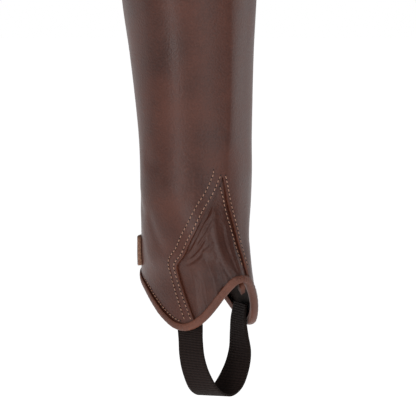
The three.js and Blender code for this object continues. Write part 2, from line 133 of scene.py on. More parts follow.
@dataclass
class LegForm:
    """The filled-out form of the half chap, in millimetres above the side flaps."""

    calf_height: float = 300.0
    top_height: float = 414.0
    top_rise: float = 5.0
    crest_spread: float = 42.0
    crest_rounding: float = 2.2
    zip_opening: float = 9.0
    apex: float = 123.0
    sections: tuple[Section, ...] = (
        Section(0, 65, 57, 38, 2.0, 0, 0),
        Section(25, 67, 58, 37.5, 1.9, 0, 1),
        Section(43, 67.5, 58, 37.8, 1.75, 0, 3),
        Section(55, 63, 56, 40, 1.75, 0, 5),
        Section(68, 57, 53, 41.5, 1.8, 0.5, 6.5),
        Section(82, 52, 48, 43.5, 1.85, 1, 7),
        Section(100, 48.2, 43.5, 45.5, 1.9, 2, 6.5),
        Section(125, 46.8, 43, 46.3, 2.0, 3, 4.5),
        Section(150, 47, 46.5, 46.4, 2.0, 4, 2),
        Section(182, 46.5, 52.2, 47.7, 2.0, 4, 0),
        Section(223, 46.8, 62.5, 49.4, 2.0, 4, 0),
        Section(263, 47.1, 73.5, 52.2, 2.0, 4, 0),
        Section(300, 47.5, 78, 54, 2.0, 4, 0),
        Section(345, 47.8, 75.5, 53.8, 2.0, 4, 0),
        Section(385, 48.5, 69.5, 52, 2.0, 3.5, 0),
        Section(425, 49.5, 63, 50, 2.0, 3, 0),
    )
    hem_knots: tuple[Knot, ...] = (
        Knot(0, 41.5), Knot(10, 40), Knot(18, 35.5), Knot(26, 28.5), Knot(34, 20), Knot(43, 11),
        Knot(52, 4.5), Knot(62, 1.2), Knot(72, 2.4), Knot(83, 8.5), Knot(96, 18), Knot(110, 27.5),
        Knot(125, 33.5), Knot(145, 38), Knot(180, 39),
    )
    outer_seam: tuple[Knot, ...] = (
        Knot(-25, 45), Knot(9, 53.5), Knot(23, 59.5), Knot(34, 63), Knot(44, 64.6), Knot(50.5, 63.5),
        Knot(59, 54), Knot(70, 44), Knot(82, 33), Knot(96, 21.5), Knot(106, 13), Knot(123, 3.6),
    )
    inner_seam: tuple[Knot, ...] = (
        Knot(-25, -15), Knot(9, -16), Knot(23, -16.5), Knot(34, -17), Knot(44, -17.5), Knot(50.5, -18),
        Knot(59, -17.7), Knot(70, -15.7), Knot(82, -12.5), Knot(96, -7), Knot(106, -3), Knot(123, 3.6),
    )
    columns: dict[str, tuple[Knot, ...]] = field(init=False)

    def __post_init__(self) -> None:
        """Turns the sections into one smooth curve for each of their sizes."""
        names = ("front", "back", "half", "point", "crest", "turn")
        self.columns = {n: tuple(Knot(s.height, getattr(s, n)) for s in self.sections) for n in names}

    def size(self, name: str, height: float) -> float:
        """Reads one size of the form at a height."""
        return smooth(self.columns[name], height)

    def face(self, angle: float, height: float) -> Vector:
        """Finds the leather's outer face.

        Args:
            angle: degrees from the shin, towards the outer side.
            height: millimetres above the side flaps.

        Returns:
            The point, in millimetres in the part's frame.
        """
        phi = math.radians(angle)
        sine, cosine = math.sin(phi), math.cos(phi)
        half = self.size("half", height)
        if cosine > 0:
            power = 2 / self.size("point", height)
            rounded = math.hypot(angle, self.crest_rounding) - self.crest_rounding
            crest_height = self.size("crest", height)
            crest = crest_height * max(0.0, 1 - rounded / self.crest_spread) ** 2
            across = -half * math.copysign(abs(sine) ** power, sine)
            reach = (self.size("front", height) - crest_height) * cosine**power + crest
        else:
            across = -half * sine
            reach = self.size("back", height) * cosine
        turn = math.radians(self.size("turn", height))
        x = across * math.cos(turn) - reach * math.sin(turn)
        y = -(reach * math.cos(turn) + across * math.sin(turn))
        return Vector((x, y, height - self.calf_height))

    def outward(self, angle: float, height: float) -> Vector:
        """The level direction that points away from the leg."""
        along = self.face(angle + 0.6, height) - self.face(angle - 0.6, height)
        out = Vector((-along.y, along.x, 0)).normalized()
        here = self.face(angle, height)
        return out if out.x * here.x + out.y * here.y > 0 else -out

    def surface(self, angle: float, height: float, out: float = 0.0) -> Vector:
        """A point `out` millimetres off the outer face, in metres."""
        return (self.face(angle, height) + self.outward(angle, height) * out) * MM

    def hem(self, angle: float) -> float:
        """The height of the lower edge at an angle."""
        return smooth(self.hem_knots, abs((angle + 540) % 360 - 180))

    def top(self, angle: float) -> float:
        """The height of the top edge at an angle."""
        return self.top_height + self.top_rise * math.cos(math.radians(angle))

    def seam(self, side: Side, height: float) -> float:
        """The angle of the gusset's cut-out on one side."""
        return smooth(self.outer_seam if side is Side.OUTER else self.inner_seam, height)

    def degrees_for(self, width: float, height: float) -> float:
        """How many degrees a width in millimetres takes up round the leg."""
        return math.degrees(width / self.size("half", height))

    def back_angle(self, across: float, height: float) -> float:
        """The angle of a point that far from the middle of the back, towards the outer side."""
        return 180 - math.degrees(math.asin(across / self.size("half", height)))

    def seam_foot(self, side: Side) -> float:
        """The height at which a seam meets the lower edge."""
        low, high = -5.0, 60.0
        for _ in range(40):
            middle = (low + high) / 2
            if middle > self.hem(self.seam(side, middle)):
                high = middle
            else:
                low = middle
        return high

    def edge_point(self, edge: Edge, angle: float, inward: float, out: float) -> Vector:
        """Finds a point near an edge of the sleeve.

        Args:
            edge: the edge's height at each angle.
            angle: degrees from the shin.
            inward: millimetres up along the leather, at right angles to the edge.
            out: millimetres off the leather.

        Returns:
            The point, in metres.
        """
        before = self.face(angle - 0.5, edge(angle - 0.5))
        after = self.face(angle + 0.5, edge(angle + 0.5))
        rise = after.z - before.z
        run = math.hypot(after.x - before.x, after.y - before.y)
        length = math.hypot(rise, run)
        return self.surface(angle - inward * rise / length / run, edge(angle) + inward * run / length, out)


@dataclass(frozen=True)
class Crease:
    """A soft trough or ridge in the leather: its two ends as angle and height, width and depth."""

    angle_a: float
    height_a: float
    angle_b: float
    height_b: float
    width: float
    depth: float

    def lift(self, angle: float, height: float) -> float:
        """How far the crease moves the leather at a point, in millimetres."""
        ax, ay = self.angle_a * MM_PER_DEGREE, self.height_a
        bx, by = self.angle_b * MM_PER_DEGREE, self.height_b
        px, py = angle * MM_PER_DEGREE, height
        length = math.hypot(bx - ax, by - ay)
        t = ((px - ax) * (bx - ax) + (py - ay) * (by - ay)) / length**2
        bow = 1.2 * math.sin(math.pi * min(max(t, 0.0), 1.0))
        away = ((px - ax) * (by - ay) - (py - ay) * (bx - ax)) / length + bow
        fade = max(0.0, 1 - abs(2 * t - 1) ** 3) if 0 <= t <= 1 else 0.0
        return self.depth * fade * math.exp(-((away / self.width) ** 2))


class Nodes:
    """Helpers that build shader nodes."""

    def __init__(self, tree: bpy.types.NodeTree) -> None:
        """Keeps the tree to build in."""
        self.tree = tree

    def add(self, kind: str, **settings: object) -> bpy.types.Node:
        """Adds a node and sets its properties or, for names of inputs, their values."""
        node = self.tree.nodes.new(kind)
        for key, value in settings.items():
            if hasattr(node, key):
                setattr(node, key, value)
            else:
                node.inputs[key.replace("_", " ")].default_value = value
        return node

    def link(self, source: bpy.types.NodeSocket, target: bpy.types.NodeSocket) -> None:
        """Joins two sockets."""
        self.tree.links.new(source, target)


def grain_group() -> bpy.types.NodeTree:
    """Builds the shared leather grain: pebbles, pores and slow tone changes.

    Returns:
        A node group with scale and contrast inputs, and tone and height outputs.
    """
    tree = bpy.data.node_groups.new("leather_grain", "ShaderNodeTree")
    for name, kind, default in (("Scale", "NodeSocketFloat", 1.0), ("Wrinkle", "NodeSocketFloat", 0.5)):
        tree.interface.new_socket(name, in_out="INPUT", socket_type=kind).default_value = default
    tree.interface.new_socket("Tone", in_out="OUTPUT", socket_type="NodeSocketFloat")
    tree.interface.new_socket("Height", in_out="OUTPUT", socket_type="NodeSocketFloat")
    n = Nodes(tree)
    entry = n.add("NodeGroupInput")
    leave = n.add("NodeGroupOutput")
    place = n.add("ShaderNodeTexCoord")
    sized = n.add("ShaderNodeVectorMath", operation="SCALE")
    n.link(place.outputs["Object"], sized.inputs[0])
    n.link(entry.outputs["Scale"], sized.inputs["Scale"])
    pebble = n.add("ShaderNodeTexVoronoi", feature="SMOOTH_F1", Scale=620.0, Smoothness=0.5, Randomness=1.0)
    pores = n.add("ShaderNodeTexNoise", Scale=1500.0, Detail=3.0, Roughness=0.6)
    slow = n.add("ShaderNodeTexNoise", Scale=26.0, Detail=4.0, Roughness=0.55)
    streak = n.add("ShaderNodeTexNoise", Scale=150.0, Detail=3.0, Roughness=0.6)
    for texture in (pebble, pores, slow, streak):
        n.link(sized.outputs[0], texture.inputs["Vector"])
    raised = n.add("ShaderNodeMath", operation="MULTIPLY_ADD")
    n.link(pores.outputs["Fac"], raised.inputs[0])
    raised.inputs[1].default_value = 0.5
    n.link(pebble.outputs["Distance"], raised.inputs[2])
    wrinkled = n.add("ShaderNodeMath", operation="MULTIPLY")
    n.link(streak.outputs["Fac"], wrinkled.inputs[0])
    n.link(entry.outputs["Wrinkle"], wrinkled.inputs[1])
    total = n.add("ShaderNodeMath", operation="ADD")
    n.link(raised.outputs[0], total.inputs[0])
    n.link(wrinkled.outputs[0], total.inputs[1])
    toned = n.add("ShaderNodeMath", operation="MULTIPLY_ADD")
    n.link(pebble.outputs["Distance"], toned.inputs[0])
    toned.inputs[1].default_value = 0.25
    n.link(slow.outputs["Fac"], toned.inputs[2])
    n.link(toned.outputs[0], leave.inputs["Tone"])
    n.link(total.outputs[0], leave.inputs["Height"])
    return tree


@dataclass(frozen=True)
class LeatherFinish:
    """A leather: its dark and light tones, gloss, grain size and how deep the grain stands."""

    name: str
    dark: tuple[float, float, float]
    light: tuple[float, float, float]
    roughness: float
    grain: float
    relief: float
    wrinkle: float
    coat: float

    def material(self, grain: bpy.types.NodeTree) -> bpy.types.Material:
        """Makes the material around the shared grain group."""
        made = bpy.data.materials.new(self.name)
        made.use_nodes = True
        n = Nodes(made.node_tree)
        shader = made.node_tree.nodes["Principled BSDF"]
        group = n.add("ShaderNodeGroup", node_tree=grain)
        group.inputs["Scale"].default_value = self.grain
        group.inputs["Wrinkle"].default_value = self.wrinkle
        tones = n.add("ShaderNodeValToRGB")
        tones.color_ramp.elements[0].position = 0.38
        tones.color_ramp.elements[0].color = (*self.dark, 1)
        tones.color_ramp.elements[1].position = 0.82
        tones.color_ramp.elements[1].color = (*self.light, 1)
        n.link(group.outputs["Tone"], tones.inputs["Fac"])
        n.link(tones.outputs["Color"], shader.inputs["Base Color"])
        rough = n.add("ShaderNodeMapRange")
        rough.inputs["From Min"].default_value = 0.3
        rough.inputs["From Max"].default_value = 1.0
        rough.inputs["To Min"].default_value = self.roughness - 0.07
        rough.inputs["To Max"].default_value = self.roughness + 0.09
        n.link(group.outputs["Tone"], rough.inputs["Value"])
        n.link(rough.outputs["Result"], shader.inputs["Roughness"])
        bump = n.add("ShaderNodeBump")
        bump.inputs["Strength"].default_value = self.relief
        bump.inputs["Distance"].default_value = 0.0004
        n.link(group.outputs["Height"], bump.inputs["Height"])
        n.link(bump.outputs["Normal"], shader.inputs["Normal"])
        shader.inputs["IOR"].default_value = 1.5
        shader.inputs["Specular IOR Level"].default_value = 0.34
        shader.inputs["Coat Weight"].default_value = self.coat
        shader.inputs["Coat Roughness"].default_value = 0.42
        return made


@dataclass(frozen=True)
class WovenFinish:
    """A woven or ribbed band: its colour, and its ribs per metre along the band's own map."""

    name: str
    dark: tuple[float, float, float]
    light: tuple[float, float, float]
    ribs: float
    relief: float

    def material(self) -> bpy.types.Material:
        """Makes the material on the piece's own map, in metres."""
        made = bpy.data.materials.new(self.name)
        made.use_nodes = True
        n = Nodes(made.node_tree)
        shader = made.node_tree.nodes["Principled BSDF"]
        where = n.add("ShaderNodeTexCoord")
        along = n.add("ShaderNodeTexWave", wave_type="BANDS", bands_direction="Y", wave_profile="SIN")
        along.inputs["Scale"].default_value = self.ribs
        across = n.add("ShaderNodeTexWave", wave_type="BANDS", bands_direction="X", wave_profile="SIN")
        across.inputs["Scale"].default_value = self.ribs * 0.6
        fuzz = n.add("ShaderNodeTexNoise", Scale=900.0, Detail=4.0)
        for texture in (along, across):
            n.link(where.outputs["UV"], texture.inputs["Vector"])
        n.link(where.outputs["Object"], fuzz.inputs["Vector"])
        woven = n.add("ShaderNodeMath", operation="MULTIPLY_ADD")
        n.link(across.outputs["Fac"], woven.inputs[0])
        woven.inputs[1].default_value = 0.35
        n.link(along.outputs["Fac"], woven.inputs[2])
        rough = n.add("ShaderNodeMath", operation="MULTIPLY_ADD")
        n.link(fuzz.outputs["Fac"], rough.inputs[0])
        rough.inputs[1].default_value = 0.5
        n.link(woven.outputs[0], rough.inputs[2])
        tones = n.add("ShaderNodeValToRGB")
        tones.color_ramp.elements[0].position = 0.25
        tones.color_ramp.elements[0].color = (*self.dark, 1)
        tones.color_ramp.elements[1].position = 1.0
        tones.color_ramp.elements[1].color = (*self.light, 1)
        n.link(rough.outputs[0], tones.inputs["Fac"])
        n.link(tones.outputs["Color"], shader.inputs["Base Color"])
        bump = n.add("ShaderNodeBump")
        bump.inputs["Strength"].default_value = self.relief
        bump.inputs["Distance"].default_value = 0.0005
        n.link(rough.outputs[0], bump.inputs["Height"])
        n.link(bump.outputs["Normal"], shader.inputs["Normal"])
        shader.inputs["Roughness"].default_value = 0.85
        shader.inputs["Specular IOR Level"].default_value = 0.15
        return made


@dataclass(frozen=True)
class PlainFinish:
    """Thread, painted needle-hole shade, cut edges with a painted highlight, and metal: a tone broken up by
    fine noise.
    """

    name: str
    dark: tuple[float, float, float]
    light: tuple[float, float, float]
    roughness: float
    metallic: float = 0.0
    scale: float = 700.0
    glow: float = 0.0

    def material(self) -> bpy.types.Material:
        """Makes the material on object coordinates."""
        made = bpy.data.materials.new(self.name)
        made.use_nodes = True
        n = Nodes(made.node_tree)
        shader = made.node_tree.nodes["Principled BSDF"]
        where = n.add("ShaderNodeTexCoord")
        noise = n.add("ShaderNodeTexNoise", Scale=self.scale, Detail=3.0)
        n.link(where.outputs["Object"], noise.inputs["Vector"])
        tones = n.add("ShaderNodeValToRGB")
        tones.color_ramp.elements[0].position = 0.35
        tones.color_ramp.elements[0].color = (*self.dark, 1)
        tones.color_ramp.elements[1].position = 0.65
        tones.color_ramp.elements[1].color = (*self.light, 1)
        n.link(noise.outputs["Fac"], tones.inputs["Fac"])
        n.link(tones.outputs["Color"], shader.inputs["Base Color"])
        shader.inputs["Roughness"].default_value = self.roughness
        shader.inputs["Metallic"].default_value = self.metallic
        shader.inputs["Emission Color"].default_value = (1, 1, 1, 1)
        shader.inputs["Emission Strength"].default_value = self.glow
        return made


class Palette:
    """Every material of the half chap."""

    def __init__(self) -> None:
        """Builds the shared grain and the finishes."""
        grain = grain_group()
        self.leather = LeatherFinish(
            "panel_leather", (0.036, 0.0085, 0.0042), (0.076, 0.020, 0.0105), 0.38, 1.0, 0.35, 0.15, 0.05
        ).material(grain)
        self.soft = LeatherFinish(
            "gusset_leather", (0.034, 0.0085, 0.0046), (0.070, 0.020, 0.011), 0.40, 1.1, 0.4, 1.1, 0.05
        ).material(grain)
        self.binding = LeatherFinish(
            "binding_leather", (0.062, 0.017, 0.008), (0.13, 0.040, 0.021), 0.5, 1.3, 0.35, 0.5, 0.08
        ).material(grain)
        # Inner face: the flesh side's own brown, darkened to near-black as painted shade inside the sleeve.
        self.inside_tone_and_shade = LeatherFinish(
            "flesh_side_and_painted_shade", (0.012, 0.006, 0.004), (0.022, 0.011, 0.008), 0.85, 1.4, 0.3, 0.4, 0.0
        ).material(grain)
        # Cut edges: pale, partly the raw edge's own tone and partly a painted highlight of the edge catching
        # light.
        self.cut_edge_and_highlight = PlainFinish("cut_edge_and_highlight", (0.14, 0.06, 0.035), (0.3, 0.16, 0.10), 0.7).material()
        self.thread = PlainFinish("thread", (0.22, 0.11, 0.07), (0.42, 0.24, 0.17), 0.75).material()
        # Needle holes: near-black colour, painted shade of the holes.
        self.hole_shade = PlainFinish("needle_hole_shade", (0.006, 0.003, 0.002), (0.012, 0.006, 0.004), 0.9).material()
        self.elastic = WovenFinish(
            "stirrup_webbing", (0.004, 0.0018, 0.0014), (0.014, 0.0075, 0.006), 130.0, 0.7
        ).material()
        self.tape = WovenFinish(
            "zip_tape", (0.010, 0.006, 0.005), (0.025, 0.016, 0.014), 260.0, 0.5
        ).material()
        self.metal = PlainFinish(
            "dark_brass", (0.16, 0.12, 0.075), (0.26, 0.20, 0.13), 0.35, 1.0, 300.0
        ).material()


class Workshop:
    """Turns grids into finished pieces and books them in with the frame."""

    def __init__(self, form: LegForm, palette: Palette) -> None:
        """Keeps the form and the materials."""
        self.form = form
        self.palette = palette

    def finish(self, name: str, mesh: bmesh.types.BMesh, slot: str, materials: Sequence[bpy.types.Material],
               nodes: Sequence[str] = (), soft: bool = True) -> bpy.types.Object:
        """Makes the object, dresses it and hides the solids that it stands for.

        Args:
            name: the piece's name.
            mesh: its mesh, in metres in the part's frame.
            slot: the record's material slot; not used.
            materials: its materials, in slot order.
            nodes: the solids that it replaces.
            soft: whether its faces are shaded smooth.

        Returns:
            The finished object.
        """
        data = bpy.data.meshes.new(name)
        mesh.to_mesh(data)
        mesh.free()
        for polygon in data.polygons:
            polygon.use_smooth = soft
        made = bpy.data.objects.new(name, data)
        bpy.context.scene.collection.objects.link(made)
        for material in materials:
            data.materials.append(material)
        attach(made, "chap")
        if nodes:
            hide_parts(*nodes)
        LOG.info("%s: %d faces", name, len(data.polygons))
        return made

    def grid(self, columns: int, rows: int, place: Place, scale: tuple[float, float] = (1, 1),
             mesh: bmesh.types.BMesh | None = None) -> bmesh.types.BMesh:
        """Maps a flat grid onto a form.

        Args:
            columns: faces across.
            rows: faces up.
            place: gives the point for u and v from 0 to 1.
            scale: the size in metres that u and v stand for on the piece's map.
            mesh: a mesh to add to.

        Returns:
            The mesh, with its map.
        """
        mesh = mesh or bmesh.new()
        uv = mesh.loops.layers.uv.verify()
        made = bmesh.ops.create_grid(mesh, x_segments=columns, y_segments=rows, size=0.5)["verts"]
        spots = {v: (v.co.x + 0.5, v.co.y + 0.5) for v in made}
        faces = {f for v in made for f in v.link_faces}
        for face in faces:
            for loop in face.loops:
                u, v = spots[loop.vert]
                loop[uv].uv = (u * scale[0], v * scale[1])
        for vert, (u, v) in spots.items():
            vert.co = place(u, v)
        return mesh

    def face_out(self, mesh: bmesh.types.BMesh) -> None:
        """Turns every face of an open sheet round the leg away from the leg's axis."""
        bmesh.ops.recalc_face_normals(mesh, faces=mesh.faces)
        total = sum((f.normal.x * f.calc_center_median().x + f.normal.y * f.calc_center_median().y)
                    * f.calc_area() for f in mesh.faces)
        if total < 0:
            bmesh.ops.reverse_faces(mesh, faces=mesh.faces)

    def thicken(self, piece: bpy.types.Object, thickness: float, offset: float = -1.0,
                inside: int = 0, rim: int = 0, rounding: float = 0.0) -> None:
        """Gives a sheet its thickness in millimetres, with its own materials inside and on the edge."""
        wall = piece.modifiers.new("wall", "SOLIDIFY")
        wall.thickness = thickness * MM
        wall.offset = offset
        wall.use_even_offset = True
        wall.material_offset = inside
        wall.material_offset_rim = rim
        if rounding:
            soft = piece.modifiers.new("edge", "BEVEL")
            soft.width = rounding * MM
            soft.segments = 2
            soft.limit_method = "ANGLE"
            soft.angle_limit = math.radians(50)


@dataclass
class MainPanel:
    """The one panel round the leg, with its cut-out for the gusset."""

    shop: Workshop
    thickness: float = 2.0
    columns: int = 96
    rows: int = 150
    apex_share: float = 0.32
    creases: tuple[Crease, ...] = (
        Crease(88, 96, 72, 58, 5.0, -0.9),
        Crease(104, 84, 92, 48, 6.0, 0.7),
        Crease(120, 110, 96, 88, 5.0, -0.7),
        Crease(70, 118, 40, 104, 6.0, 0.5),
        Crease(96, 140, 70, 128, 7.0, -0.5),
        Crease(142, 96, 126, 80, 5.0, -0.8),
        Crease(-70, 100, -50, 66, 5.0, -0.8),
        Crease(-104, 92, -88, 54, 6.0, 0.7),
        Crease(-130, 112, -104, 92, 5.0, -0.7),
        Crease(-150, 90, -130, 72, 5.0, 0.6),
    )

    def wave(self, angle: float, height: float) -> float:
        """The slow unevenness of worn leather, in millimetres."""
        slow = 0.35 * math.sin(math.radians(angle * 3.1 + height * 0.9)) * math.sin(height * 0.021 + 0.6)
        return slow + sum(c.lift(angle, height) for c in self.creases)

    def boundary(self, side: Side, v: float) -> tuple[float, float]:
        """The front boundary of one half, up the seam and then up the shin, as angle and height."""
        form = self.shop.form
        if v < self.apex_share:
            height = mix(form.seam_foot(side), form.apex, v / self.apex_share)
            return form.seam(side, height), height
        t = (v - self.apex_share) / (1 - self.apex_share)
        start = form.seam(side, form.apex)
        angle = start * max(0.0, 1 - 2.5 * t)
        return angle, mix(form.apex, form.top(angle), t)

    def half(self, side: Side) -> Place:
        """The map of one half of the panel, from its front boundary to the zip."""
        form = self.shop.form
        feet = self.boundary(side, 0.0)
        heads = self.boundary(side, 1.0)
        foot_end, head_end = form.hem(180), form.top(180)
        foot_edge = side.value * form.back_angle(form.zip_opening / 2, foot_end)
        head_edge = side.value * form.back_angle(form.zip_opening / 2, head_end)
        cache: dict[float, tuple[float, float]] = {}

        def place(u: float, v: float) -> Vector:
            """Blends the four edges of the half."""
            key = round(v, 6)
            if key not in cache:
                cache[key] = self.boundary(side, v)
            angle_in, height_in = cache[key]
            t = u**1.15
            height_out = mix(foot_end, head_end, v)
            edge = side.value * form.back_angle(form.zip_opening / 2, height_out)
            angle = mix(angle_in, edge, t)
            height = mix(height_in, height_out, t)
            height += (1 - v) * (form.hem(mix(feet[0], foot_edge, t)) - mix(feet[1], foot_end, t))
            height += v * (form.top(mix(heads[0], head_edge, t)) - mix(heads[1], head_end, t))
            near_edge = min(1.0, u * 8)
            return form.surface(angle, height, self.wave(angle, height) * near_edge)

        return place

    def build(self) -> bpy.types.Object:
        """Makes both halves, joins them down the shin and gives them a wall."""
        mesh = bmesh.new()
        for side in Side:
            self.shop.grid(self.columns, self.rows, self.half(side), (0.19, 0.41), mesh)
        bmesh.ops.remove_doubles(mesh, verts=mesh.verts, dist=0.00003)
        self.shop.face_out(mesh)
        paint = self.shop.palette
        made = self.shop.finish("panel_shell", mesh, "leather", (paint.leather, paint.inside_tone_and_shade, paint.binding),
                                ("main_panel",))
        self.shop.thicken(made, self.thickness, inside=1, rim=2, rounding=0.35)
        return made


@dataclass
class AnkleGusset:
    """The soft creased leather over the instep; its creases die away `calm` degrees from a seam."""

    shop: Workshop
    below: float = 2.3
    thickness: float = 1.0
    underlap: float = 9.0
    calm: float = 7.0
    columns: int = 120
    rows: int = 150
    creases: tuple[Crease, ...] = (
        Crease(46, 66, 18, 98, 0.9, -1.1),
        Crease(40, 66, 14, 90, 1.0, 0.9),
        Crease(50, 58, 24, 78, 0.9, -1.0),
        Crease(34, 78, 12, 104, 0.8, -0.9),
        Crease(44, 72, 30, 88, 0.7, 0.8),
        Crease(52, 60, 36, 74, 0.8, 0.8),
        Crease(28, 84, 12, 98, 0.7, 0.7),
        Crease(56, 52, 32, 66, 1.0, -0.9),
        Crease(38, 62, 20, 72, 1.1, 0.7),
        Crease(22, 92, 8, 110, 0.8, -0.7),
        Crease(44, 52, 40, 12, 2.0, -1.4),
        Crease(34, 60, 31, 20, 2.4, 1.2),
        Crease(25, 58, 24, 30, 1.8, -1.2),
        Crease(52, 50, 49, 8, 1.6, 0.9),
        Crease(12, 104, 15, 50, 3.0, 1.2),
        Crease(4, 86, 2, 46, 2.4, -1.0),
        Crease(-9, 76, -8, 46, 1.8, 0.7),
        Crease(20, 56, 14, 40, 1.6, -0.8),
    )

    def build(self) -> bpy.types.Object:
        """Makes the gusset, which runs on under the main panel on both sides."""
        form = self.shop.form
        feet = {side: form.seam_foot(side) for side in Side}
        head = form.apex + 5

        def side_point(side: Side, v: float) -> tuple[float, float]:
            """The gusset's own edge on one side, as angle and height."""
            height = mix(feet[side], head, v)
            inset = min(self.underlap, 3 + (head - height) * 0.5)
            angle = form.seam(side, height) + side.value * form.degrees_for(inset, height)
            return angle, height

        def place(u: float, v: float) -> Vector:
            """Blends the gusset's sides and its lower edge."""
            angle_in, height_in = side_point(Side.INNER, v)
            angle_out, height_out = side_point(Side.OUTER, v)
            angle = mix(angle_in, angle_out, u)
            height = mix(height_in, height_out, u)
            foot_angle = mix(side_point(Side.INNER, 0)[0], side_point(Side.OUTER, 0)[0], u)
            height += (1 - v) ** 1.5 * (form.hem(foot_angle) - mix(feet[Side.INNER], feet[Side.OUTER], u))
            inner, outer = form.seam(Side.INNER, height), form.seam(Side.OUTER, height)
            inside = min(abs(angle - outer), abs(angle - inner))
            covered = not inner < angle < outer
            calm = 0.0 if covered else min(1.0, inside / self.calm)
            lift = sum(c.lift(angle, height) for c in self.creases) * calm
            return form.surface(angle, height, -self.below + lift)

        mesh = self.shop.grid(self.columns, self.rows, place, (0.1, 0.13))
        self.shop.face_out(mesh)
        paint = self.shop.palette
        made = self.shop.finish(
            "gusset_shell", mesh, "soft_leather", (paint.soft, paint.inside_tone_and_shade), ("ankle_gusset",)
        )
        self.shop.thicken(made, self.thickness, inside=1)
        return made


@dataclass
class EdgeBinding:
    """A rolled strip round an edge of the sleeve."""

    shop: Workshop
    width: float = 4.2
    gap: float = 0.5
    skin: float = 0.9

    def build(self, name: str, edge: Edge, up: int, layers: float, node: str) -> bpy.types.Object:
        """Wraps one edge from one side of the zip to the other.

        Args:
            name: the piece's name.
            edge: the edge's height at each angle.
            up: 1 for the hem, and -1 for the top edge.
            layers: the thickness that it wraps, in millimetres.
            node: the solid that it replaces.

        Returns:
            The binding.
        """
        form = self.shop.form
        end = form.back_angle(form.zip_opening / 2, form.calf_height)
        middle = -layers / 2
        radius = layers / 2 + self.gap
        legs = self.width
        length = 2 * legs + math.pi * radius

        def place(u: float, v: float) -> Vector:
            """Goes along the edge with u, and round it with v from outside to inside."""
            angle = mix(-end, end, u)
            walked = v * length
            pucker = 0.12 * math.sin(math.radians(angle) * 95)
            if walked < legs:
                inward, out = legs - walked, middle + radius + 0.25 * math.sin(math.pi * walked / legs)
            elif walked > length - legs:
                inward, out = walked - (length - legs), middle - radius
            else:
                turn = (walked - legs) / radius
                inward, out = -math.sin(turn) * radius * 0.45, middle + math.cos(turn) * radius
            return form.edge_point(edge, angle, inward * up, out + pucker * (1 - v))

        mesh = self.shop.grid(460, 18, place, (0.36, 0.016))
        bmesh.ops.recalc_face_normals(mesh, faces=mesh.faces)
        probe = max(mesh.faces, key=lambda f: -f.calc_center_median().y)
        if probe.normal.y > 0:
            bmesh.ops.reverse_faces(mesh, faces=mesh.faces)
        made = self.shop.finish(name, mesh, "binding", (self.shop.palette.binding,), (node,))
        self.shop.thicken(made, self.skin, offset=1.0)
        return made


@dataclass
class StitchRow:
    """One row of stitches along a path over the leather."""

    path: Callable[[float], Vector]
    outward: Callable[[float], Vector]


@dataclass
class Stitching:
    """All the thread: stitches as small rounded beads, with a near-black bead between each two as painted
    shade of the needle hole.
    """

    shop: Workshop
    pitch: float = 3.5
    length: float = 2.5
    radius: float = 0.42
    slant: float = 0.16
    hole_reach: float = 0.62
    hole_radius: float = 0.5
    samples: int = 600
    rows: list[StitchRow] = field(default_factory=list)

    def seam_row(self, side: Side, away: float, out: float, low: float, high: float) -> StitchRow:
        """A row beside a seam of the gusset.

        Args:
            side: which seam.
            away: millimetres from the seam, towards the main panel if positive.
            out: millimetres off the outer face.
            low: the height at which the row starts.
            high: the height at which it ends.

        Returns:
            The row.
        """
        form = self.shop.form

        def at(t: float) -> tuple[float, float]:
            """The row's angle and height."""
            height = mix(low, high, t)
            angle = form.seam(side, height)
            below = form.face(form.seam(side, height - 1.5), height - 1.5)
            above = form.face(form.seam(side, height + 1.5), height + 1.5)
            along = (above - below).normalized()
            out_dir = form.outward(angle, height)
            across = along.cross(out_dir) * side.value
            level = math.hypot(across.x, across.y)
            around = form.face(angle + 0.5, height) - form.face(angle - 0.5, height)
            sign = 1 if across.x * around.x + across.y * around.y > 0 else -1
            away_turn = away * level / around.length
            sense = 1 if sign * side.value > 0 else -1
            return angle + side.value * away_turn, height + away * across.z * sense

        return StitchRow(lambda t: form.surface(*at(t), out), lambda t: form.outward(*at(t)))

    def edge_row(self, edge: Edge, inward: float, out: float, low: float, high: float) -> StitchRow:
        """A row that follows an edge of the sleeve between two angles."""
        form = self.shop.form
        return StitchRow(
            lambda t: form.edge_point(edge, mix(low, high, t), inward, out),
            lambda t: form.outward(mix(low, high, t), edge(mix(low, high, t)) + inward),
        )

    def build(self, name: str, slot: str = "leather") -> tuple[bpy.types.Object, bpy.types.Object]:
        """Sews every row and returns the thread and the near-black beads painted as needle-hole shade."""
        thread, hole_shades = bmesh.new(), bmesh.new()
        for row in self.rows:
            samples = [row.path(i / self.samples) for i in range(self.samples + 1)]
            walked = [0.0]
            for a, b in zip(samples, samples[1:]):
                walked.append(walked[-1] + (b - a).length / MM)
            count = max(2, round(walked[-1] / self.pitch))
            step = walked[-1] / count
            i = 0
            for k in range(count):
                goal = (k + 0.5) * step
                while i < self.samples - 1 and walked[i + 1] < goal:
                    i += 1
                t = (i + (goal - walked[i]) / max(walked[i + 1] - walked[i], 1e-6)) / self.samples
                here = row.path(t)
                along = (row.path(min(t + 0.002, 1)) - row.path(max(t - 0.002, 0))).normalized()
                out = row.outward(t)
                across = out.cross(along).normalized()
                tilt = (along + across * self.slant).normalized()
                self.bead(thread, here, tilt, out, self.length / 2, self.radius)
                # Near-black bead between stitches: painted shade of the needle hole.
                self.bead(hole_shades, here + along * step * MM / 2, along, out, self.hole_reach, self.hole_radius)
        first = self.shop.finish(f"{name}_thread", thread, slot, (self.shop.palette.thread,))
        second = self.shop.finish(f"{name}_holes", hole_shades, slot, (self.shop.palette.hole_shade,))
        return first, second

    def bead(self, mesh: bmesh.types.BMesh, centre: Vector, along: Vector, out: Vector, reach: float,
             radius: float) -> None:
        """Adds one long bead that lies on the leather."""
        across = out.cross(along).normalized()
        made = bmesh.ops.create_uvsphere(mesh, u_segments=6, v_segments=5, radius=1.0)["verts"]
        for vert in made:
            x, y, z = vert.co
            vert.co = centre + (along * (z * reach) + across * (x * radius) + out * (y * radius * 0.7)) * MM


